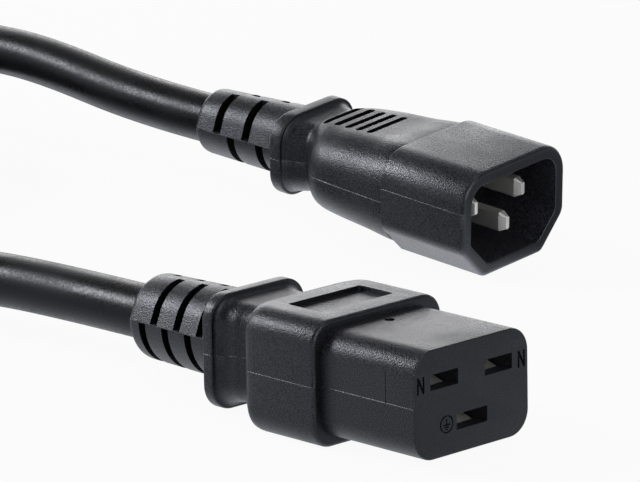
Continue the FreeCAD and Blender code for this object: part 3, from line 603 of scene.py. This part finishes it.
def build_c14(material):
    """The plug's rear body, neck and flange in one skin; its drooping boot joined."""
    place = plug_place()
    flange = SHROUD_LENGTH + PLUG_WAIST[-1][0]
    rear = flange + PLUG_FLANGE_THICK
    rows = np.vstack([waist(SHROUD_LENGTH, PLUG_WAIST),
                      front_edge(flange, PLUG_FLANGE, FLANGE_EDGE),
                      rear_edge(rear, PLUG_FLANGE, FLANGE_EDGE)])
    body = new_piece("c14_moulding", shell_of(bar_rings(rows, PLUG_SCAR_RISE)), place)
    droop = (SHROUD_LENGTH + PLUG_BORE_BACK, PLUG_LIFT, PLUG_DROOP)
    boot = new_piece("c14_boot", drooped(boot_shell(rear, PLUG_BOOT), *droop), place)
    line = new_piece("c14_boot_line", drooped(boot_line(rear, PLUG_BOOT), *droop), place)

    bore = drooped(round_bar(droop[0], rear + PLUG_BOOT.length + CUT_OUT, CORD_D_MM), *droop)
    tang = shell_of(shroud_rings([SHROUD_LENGTH - CUT_OUT, SHROUD_LENGTH + TANG_LENGTH],
                                 [TANG_INSET, TANG_INSET]))
    count, pitch, width, length, depth, first = GROOVES
    backs = SHROUD_LENGTH + first + np.arange(count) * pitch
    tops = np.interp(backs, rows[:, 0], rows[:, 2] / 2 + rows[:, 4])
    grooves = [upright(shell_of(bar_rings(section([top - depth, top + GROOVE_OUT],
                                                  (length, width, width / 2, 0.0)))), -back)
               for back, top in zip(backs, tops)]
    cuts = joined([drooped(boot_slots(rear, PLUG_BOOT), *droop), *grooves])
    shaped(body, ("UNION", boot), ("UNION", line),
           ("DIFFERENCE", new_piece("hollows", joined([bore, tang]), place)),
           ("DIFFERENCE", new_piece("cuts", cuts, place)))
    return finished(body, material, "c14_overmould")


def build_shroud(material):
    """One skin from the tang's end over the outside, round the rim and down the cavity."""
    out, along = quarter(SHROUD_RIM)
    lip_out, lip_along = quarter(SHROUD_LIP)
    cavity_back = np.concatenate([[SHROUD_DEPTH], SHROUD_LIP - lip_out])
    cavity_inset = np.concatenate([[SHROUD_WALL], SHROUD_WALL - lip_along])
    heel_out, heel_in = quarter(SHROUD_HEEL)
    outer_back = np.concatenate([along, SHROUD_LENGTH - SHROUD_HEEL + heel_out,
                                 [SHROUD_LENGTH, SHROUD_LENGTH + TANG_LENGTH]])
    outer_inset = np.concatenate([SHROUD_RIM - out, heel_in, [TANG_INSET, TANG_INSET]])
    rings = shroud_rings(np.concatenate([cavity_back, outer_back]),
                         np.concatenate([cavity_inset, outer_inset]))
    rings[len(cavity_back):] = shroud_rings(outer_back, outer_inset, SHROUD_SCAR_RISE)
    piece = new_piece("c14_inlet_shroud", shell_of(rings), plug_place())
    return finished(piece, material, "c14_shroud")


# ---------------------------------------------------------------- finishes
FRONT_MARK = "looks_forward"        # attribute of the mouldings' faces
FRONT_FROM = 0.6                    # X of a normal where that mark starts
FRONT_OVER = 0.3                    # how much more X makes it full
PAINTED_COLD_TINT = (0.84, 0.88, 1.0, 1.0)      # painted cold light: blue tint on all that black plastic reflects
GRAIN_PALE = (0.4, 0.65)            # grain where its pale colour starts and is full
GRAIN_FRONT = 0.1                   # how much of it is left on faces that look forward
GRAIN_DEPTH = 0.25                  # of its relief, over the size of a grain
DULL_RANGE = (0.7, 1.3)             # sum of grain and patch that spreads the roughness
DULL_SPREAD = 0.1                   # roughness either way
LINE_SCALE = (300.0, 9000.0, 9000.0)        # of a metal's drawn lines, to a metre
LINE_SHADE = 0.9                    # their colour over the metal's
LINE_ROUGH = (0.75, 1.3)            # roughness of lines and ground over the metal's
LINE_DEPTH_M = 0.00001


def node_tree(name, inputs, outputs):
    """Empty shader group with its sockets."""
    tree = bpy.data.node_groups.new(name, "ShaderNodeTree")
    for socket, kind, value in inputs:
        made = tree.interface.new_socket(socket, in_out="INPUT", socket_type=kind)
        made.default_value = value
    for socket, kind in outputs:
        tree.interface.new_socket(socket, in_out="OUTPUT", socket_type=kind)
    return tree


def add(tree, kind, links=None, **settings):
    """Node with its settings, its sockets set to values or linked to other sockets."""
    node = tree.nodes.new(kind)
    for key, value in settings.items():
        setattr(node, key, value)
    for socket, value in (links or {}).items():
        if isinstance(value, bpy.types.NodeSocket):
            tree.links.new(value, node.inputs[socket])
        else:
            node.inputs[socket].default_value = value
    return node


def maths(tree, operation, *values):
    """Result of one operation on numbers or sockets."""
    return add(tree, "ShaderNodeMath", dict(enumerate(values)), operation=operation).outputs[0]


def spark_texture_group():
    """Spark-eroded mould texture: fine grain with a slow variation of its polish.

    The size of a grain and of a patch of one polish are in metres.
    """
    tree = node_tree("spark_texture",
                     [("Grain Size", "NodeSocketFloat", 0.00022),
                      ("Patch Size", "NodeSocketFloat", 0.012)],
                     [("Height", "NodeSocketFloat"), ("Patch", "NodeSocketFloat"),
                      ("Speckle", "NodeSocketFloat")])
    enter = tree.nodes.new("NodeGroupInput")
    leave = tree.nodes.new("NodeGroupOutput")
    where = add(tree, "ShaderNodeTexCoord")
    grain_scale = maths(tree, "DIVIDE", 1.0, enter.outputs["Grain Size"])
    patch_scale = maths(tree, "DIVIDE", 1.0, enter.outputs["Patch Size"])
    grain = add(tree, "ShaderNodeTexNoise",
                {"Vector": where.outputs["Object"], "Scale": grain_scale,
                 "Detail": 1.0, "Roughness": 0.5})
    pits = add(tree, "ShaderNodeTexVoronoi",
               {"Vector": where.outputs["Object"], "Scale": grain_scale}, feature="SMOOTH_F1")
    patch = add(tree, "ShaderNodeTexNoise",
                {"Vector": where.outputs["Object"], "Scale": patch_scale,
                 "Detail": 3.0, "Roughness": 0.55})
    height = maths(tree, "ADD", grain.outputs["Fac"], pits.outputs["Distance"])
    tree.links.new(height, leave.inputs["Height"])
    tree.links.new(patch.outputs["Fac"], leave.inputs["Patch"])
    tree.links.new(grain.outputs["Fac"], leave.inputs["Speckle"])
    return tree


SPARK = spark_texture_group()


def spread(tree, value, low, high, low_in=0.0, high_in=1.0):
    """A value's range, 0 to 1 or as given, mapped onto low to high and kept inside."""
    return add(tree, "ShaderNodeMapRange",
               {"Value": value, "From Min": low_in, "From Max": high_in,
                "To Min": low, "To Max": high}).outputs["Result"]


def blend(tree, share, first, second):
    """Colour between two colours, by the Mix node's own sockets for colours."""
    mix = add(tree, "ShaderNodeMix", {0: share, 6: [*first, 1.0], 7: [*second, 1.0]},
              data_type="RGBA")
    return mix.outputs[2]


def principled(name):
    """New material, its tree and its shader."""
    material = bpy.data.materials.new(name)
    material.use_nodes = True
    tree = material.node_tree
    return material, tree, tree.nodes["Principled BSDF"]


def moulded(name, colour, roughness, grain_mm, bump, speckle=0.35, specular=0.5):
    """Moulded plastic or rubber with the spark-eroded texture of its mould.

    Its pale grains fade out on faces that look forward, which the mould leaves smooth.
    """
    material, tree, shader = principled(name)
    shader.inputs["Specular IOR Level"].default_value = specular
    # painted cold light: the reflections are tinted blue
    shader.inputs["Specular Tint"].default_value = PAINTED_COLD_TINT
    spark = add(tree, "ShaderNodeGroup", node_tree=SPARK)
    spark.inputs["Grain Size"].default_value = grain_mm * MM
    front = add(tree, "ShaderNodeAttribute", attribute_name=FRONT_MARK)
    grains = maths(tree, "MULTIPLY",
                   spread(tree, spark.outputs["Speckle"], 0.0, 1.0, *GRAIN_PALE),
                   spread(tree, front.outputs["Fac"], 1.0, GRAIN_FRONT))
    shade = blend(tree, grains, [c / (1 + speckle) for c in colour],
                  [c * (1 + speckle) for c in colour])
    tree.links.new(shade, shader.inputs["Base Color"])
    dull = maths(tree, "ADD", spark.outputs["Patch"], spark.outputs["Speckle"])
    rough = spread(tree, dull, roughness - DULL_SPREAD, roughness + DULL_SPREAD, *DULL_RANGE)
    tree.links.new(rough, shader.inputs["Roughness"])
    relief = add(tree, "ShaderNodeBump",
                 {"Height": spark.outputs["Height"], "Strength": bump,
                  "Distance": grain_mm * MM * GRAIN_DEPTH})
    tree.links.new(relief.outputs["Normal"], shader.inputs["Normal"])
    return material


def metal(name, colour, roughness, scratch):
    """Plated or bare metal with fine drawn lines along the piece."""
    material, tree, shader = principled(name)
    shader.inputs["Metallic"].default_value = 1.0
    where = add(tree, "ShaderNodeTexCoord")
    stretch = add(tree, "ShaderNodeMapping", {"Vector": where.outputs["Object"],
                                              "Scale": LINE_SCALE})
    lines = add(tree, "ShaderNodeTexNoise", {"Vector": stretch.outputs["Vector"], "Scale": 1.0,
                                             "Detail": 2.0})
    shade = blend(tree, lines.outputs["Fac"], [c * LINE_SHADE for c in colour], colour)
    tree.links.new(shade, shader.inputs["Base Color"])
    rough = spread(tree, lines.outputs["Fac"], *[roughness * share for share in LINE_ROUGH])
    tree.links.new(rough, shader.inputs["Roughness"])
    relief = add(tree, "ShaderNodeBump", {"Height": lines.outputs["Fac"], "Strength": scratch,
                                          "Distance": LINE_DEPTH_M})
    tree.links.new(relief.outputs["Normal"], shader.inputs["Normal"])
    return material


BLACK = (0.006, 0.006, 0.0075)
# colour, roughness, size of a grain in mm, strength of its relief
overmould_black = moulded("moulded_pvc_black", BLACK, 0.36, 0.25, 0.65, speckle=4.5,
                          specular=0.38)
shroud_black = moulded("shroud_black", BLACK, 0.36, 0.25, 0.65, speckle=4.5, specular=0.47)
cord_black = moulded("cord_jacket_black", (0.006, 0.006, 0.007), 0.35, 0.5, 0.1, speckle=0.15,
                     specular=0.19)
carrier_black = moulded("carrier_black", (0.012, 0.012, 0.013), 0.45, 0.3, 0.3)
brown = moulded("line_brown", (0.11, 0.045, 0.02), 0.4, 0.5, 0.05)
blue = moulded("neutral_blue", (0.02, 0.06, 0.3), 0.4, 0.5, 0.05)
green = moulded("earth_green", (0.12, 0.3, 0.03), 0.4, 0.5, 0.05)
# colour, roughness, strength of the drawn lines' relief
nickel = metal("nickel_plate", (0.86, 0.85, 0.82), 0.5, 0.15)
tin = metal("tinned_contact", (0.84, 0.83, 0.8), 0.5, 0.2)
copper = metal("copper_strands", (0.72, 0.36, 0.22), 0.35, 0.6)

FINISHES = {"moulded_pvc": overmould_black, "shroud_plastic": shroud_black,
            "cord_jacket": cord_black, "carrier_plastic": carrier_black,
            "contact_metal": tin, "pin_metal": nickel, "copper": copper,
            "line_insulation": brown, "neutral_insulation": blue, "earth_insulation": green}


def dress_nodes():
    """Every CAD node gets the finish of its material slot."""
    slots = {s["node"]: s["material_slot"] for s in frame["record"]["subparts"]}
    for name, node in frame["nodes"].items():
        node.data.materials.clear()
        node.data.materials.append(FINISHES[slots[name]])


# ---------------------------------------------------------------- stage
FLOOR_SEEN = 0.94                   # share of plain white in what the camera sees
FLOOR_GLOSS = 0.8                   # share of the light table in what reflections see
FLOOR_BASE = 0.66                   # least strength in reflections
LIGHT_TINT = (0.93, 0.96, 1.0)      # of the light table in reflections
# Painted light and painted shade in the floor's glow, seen only in reflections.
FLOOR_PAINTED_LIGHT_GAIN = (1.3, 3.0)             # painted light in reflections: gain below the C19 end, below the C14 end
FLOOR_PAINTED_LIGHT_Y = (0.0, 0.08)          # metres, where it starts to grow and where it stops
FLOOR_PAINTED_SHADE = 0.75                  # strength of the painted shade: dark bands on the floor, seen in reflections
PAINTED_SHADE_FROM_Y = (0.02, 0.045)        # metres, over which the painted shade between the ends starts
PAINTED_SHADE_TO_Y = (0.065, 0.085)         # and over which it ends
PAINTED_SHADE_BEYOND_Y = (0.095, 0.115)           # the same, for the start of the band of painted shade beyond
PAINTED_SHADE_X = (0.0, 0.03)               # both fade over this, towards the front
FLOOR_HALF = 6.0                    # metres
FLOOR_GREY = 0.5
HORIZON = (0.2, 0.5)                # sine of the height where its light fades
HORIZON_LIGHT = (0.7, 0.05)         # strength below it and above it
WORLD_FILL = 0.2                    # least light from all round
# name, place in mm, width and height in metres, power in watts
LIGHTS = [("left_softbox", (-890, -520, 600), 0.36, 0.36, 10.0),
          ("back_panel", (-960, 920, 420), 1.3, 0.6, 6.3),
          ("overhead", (200, 300, 1300), 1.0, 1.0, 2.0),
          ("front_fill", (1000, -100, 380), 0.8, 0.8, 6.0)]


def light_table(tree, shader):
    """White to the camera; in reflections brightest where it is looked at from above.

    The share of white is the camera's share or the reflections'; its strength is 1 to
    the camera and, in reflections, a base plus a gain times the squared sine of the
    ray's height above the floor.  The gain grows from the C19 end to the C14 end, a
    painted pool of light, and bands of painted shade lie on the floor between the ends
    and beyond the C14 end; only reflections see these.
    band of shade lies on the floor between the ends and another beyond the C14 end.
    """
    path = add(tree, "ShaderNodeLightPath")
    weight = add(tree, "ShaderNodeLayerWeight", {"Blend": 0.5})
    where = add(tree, "ShaderNodeTexCoord")
    place = add(tree, "ShaderNodeSeparateXYZ", {0: where.outputs["Object"]})
    x, y = place.outputs["X"], place.outputs["Y"]
    camera, glossy = path.outputs["Is Camera Ray"], path.outputs["Is Glossy Ray"]
    # painted light: the floor glows more in reflections towards the C14 end
    painted_light_gain = spread(tree, y, *FLOOR_PAINTED_LIGHT_GAIN, *FLOOR_PAINTED_LIGHT_Y)
    # painted shade: dark bands on the floor between the ends and beyond the C14 end
    painted_shade_between = maths(tree, "SUBTRACT", spread(tree, y, 0.0, 1.0, *PAINTED_SHADE_FROM_Y),
                    spread(tree, y, 0.0, 1.0, *PAINTED_SHADE_TO_Y))
    depth = spread(tree, x, -FLOOR_PAINTED_SHADE, 0.0, *PAINTED_SHADE_X)
    painted_shade_beyond = spread(tree, y, 0.0, 1.0, *PAINTED_SHADE_BEYOND_Y)
    painted_shade = maths(tree, "ADD", painted_shade_between, painted_shade_beyond)
    left_after_painted_shade = maths(tree, "MULTIPLY_ADD", painted_shade, depth, 1.0)
    sine = maths(tree, "SUBTRACT", 1.0, weight.outputs["Facing"])
    square = maths(tree, "POWER", sine, 2.0)
    lit = maths(tree, "MULTIPLY_ADD", square, painted_light_gain, FLOOR_BASE)
    glow_with_painted_shade = maths(tree, "MULTIPLY", lit, left_after_painted_shade)
    strength = add(tree, "ShaderNodeMix", {0: camera, 2: glow_with_painted_shade, 3: 1.0}, data_type="FLOAT")
    seen = maths(tree, "MULTIPLY", camera, FLOOR_SEEN)
    gloss = maths(tree, "MULTIPLY", glossy, FLOOR_GLOSS)
    share = maths(tree, "MAXIMUM", seen, gloss)
    tint = blend(tree, camera, LIGHT_TINT, (1.0, 1.0, 1.0))
    white = add(tree, "ShaderNodeEmission", {"Color": tint, "Strength": strength.outputs[0]})
    mix = add(tree, "ShaderNodeMixShader", {0: share, 1: shader, 2: white.outputs[0]})
    return mix.outputs[0]


def build_floor():
    """Plain pale floor that runs out of view; the camera and reflections see it white."""
    corners = [(-1, -1), (1, -1), (1, 1), (-1, 1)]
    mesh = bpy.data.meshes.new("floor")
    mesh.from_pydata([(FLOOR_HALF * x, FLOOR_HALF * y, 0) for x, y in corners], [],
                     [(0, 1, 2, 3)])
    floor = bpy.data.objects.new("floor", mesh)
    bpy.context.collection.objects.link(floor)
    material = bpy.data.materials.new("pale_floor")
    material.use_nodes = True
    tree = material.node_tree
    tree.nodes.remove(tree.nodes["Principled BSDF"])
    plain = add(tree, "ShaderNodeBsdfDiffuse", {"Color": (FLOOR_GREY,) * 3 + (1,)})
    tree.links.new(light_table(tree, plain.outputs[0]),
                   tree.nodes["Material Output"].inputs["Surface"])
    mesh.materials.append(material)


def build_world():
    """White to the camera; in reflections a bright horizon under a dim studio ceiling."""
    world = bpy.data.worlds.new("studio")
    world.use_nodes = True
    tree = world.node_tree
    base = tree.nodes["Background"]
    path = add(tree, "ShaderNodeLightPath")
    where = add(tree, "ShaderNodeTexCoord")
    height = add(tree, "ShaderNodeSeparateXYZ", {0: where.outputs["Generated"]})
    horizon = add(tree, "ShaderNodeMapRange",
                  {"Value": height.outputs["Z"],
                   "From Min": HORIZON[0], "From Max": HORIZON[1],
                   "To Min": HORIZON_LIGHT[0], "To Max": HORIZON_LIGHT[1]},
                  interpolation_type="SMOOTHSTEP")
    glossy = maths(tree, "MULTIPLY", horizon.outputs["Result"], path.outputs["Is Glossy Ray"])
    fill = maths(tree, "MAXIMUM", glossy, WORLD_FILL)
    strength = maths(tree, "MAXIMUM", fill, path.outputs["Is Camera Ray"])
    tree.links.new(strength, base.inputs["Strength"])
    base.inputs["Color"].default_value = (1, 1, 1, 1)
    bpy.context.scene.world = world


def build_lights():
    """Rectangular lamps, each turned towards the point that the camera aims at."""
    aim = Vector(AIM_MM) * MM
    for name, place_mm, width, height, power in LIGHTS:
        data = bpy.data.lights.new(name, "AREA")
        data.shape = "RECTANGLE"
        data.size = width
        data.size_y = height
        data.energy = power
        light = bpy.data.objects.new(name, data)
        place = Vector(place_mm) * MM
        light.matrix_world = Matrix.Translation(place) @ (
            (place - aim).to_track_quat("Z", "Y").to_matrix().to_4x4())
        bpy.context.collection.objects.link(light)


def build_camera():
    """A long lens, placed by its direction and distance from the aim."""
    aim = Vector(AIM_MM) * MM
    turn, rise = math.radians(CAMERA_AZIMUTH), math.radians(CAMERA_RISE)
    away = Vector((math.cos(rise) * math.cos(turn), math.cos(rise) * math.sin(turn),
                   math.sin(rise)))
    data = bpy.data.cameras.new("camera")
    data.lens = LENS_MM
    data.sensor_width = SENSOR_MM
    data.clip_end = CAMERA_REACH
    camera = bpy.data.objects.new("camera", data)
    facing = away.to_track_quat("Z", "Y").to_matrix().to_4x4()
    roll = Matrix.Rotation(math.radians(CAMERA_ROLL), 4, "Z")
    camera.matrix_world = (Matrix.Translation(aim + away * CAMERA_DISTANCE_MM * MM)
                           @ facing @ roll)
    bpy.context.collection.objects.link(camera)
    bpy.context.scene.camera = camera


def main():
    """The stage, the finishes of the CAD nodes, then the pieces that replace some."""
    bpy.context.scene.view_settings.view_transform = "Standard"
    build_camera()
    build_world()
    build_lights()
    build_floor()
    dress_nodes()
    build_c19(overmould_black)
    plug = [build_c14(overmould_black), build_shroud(shroud_black)]
    build_cord(cord_black, plug)


main()
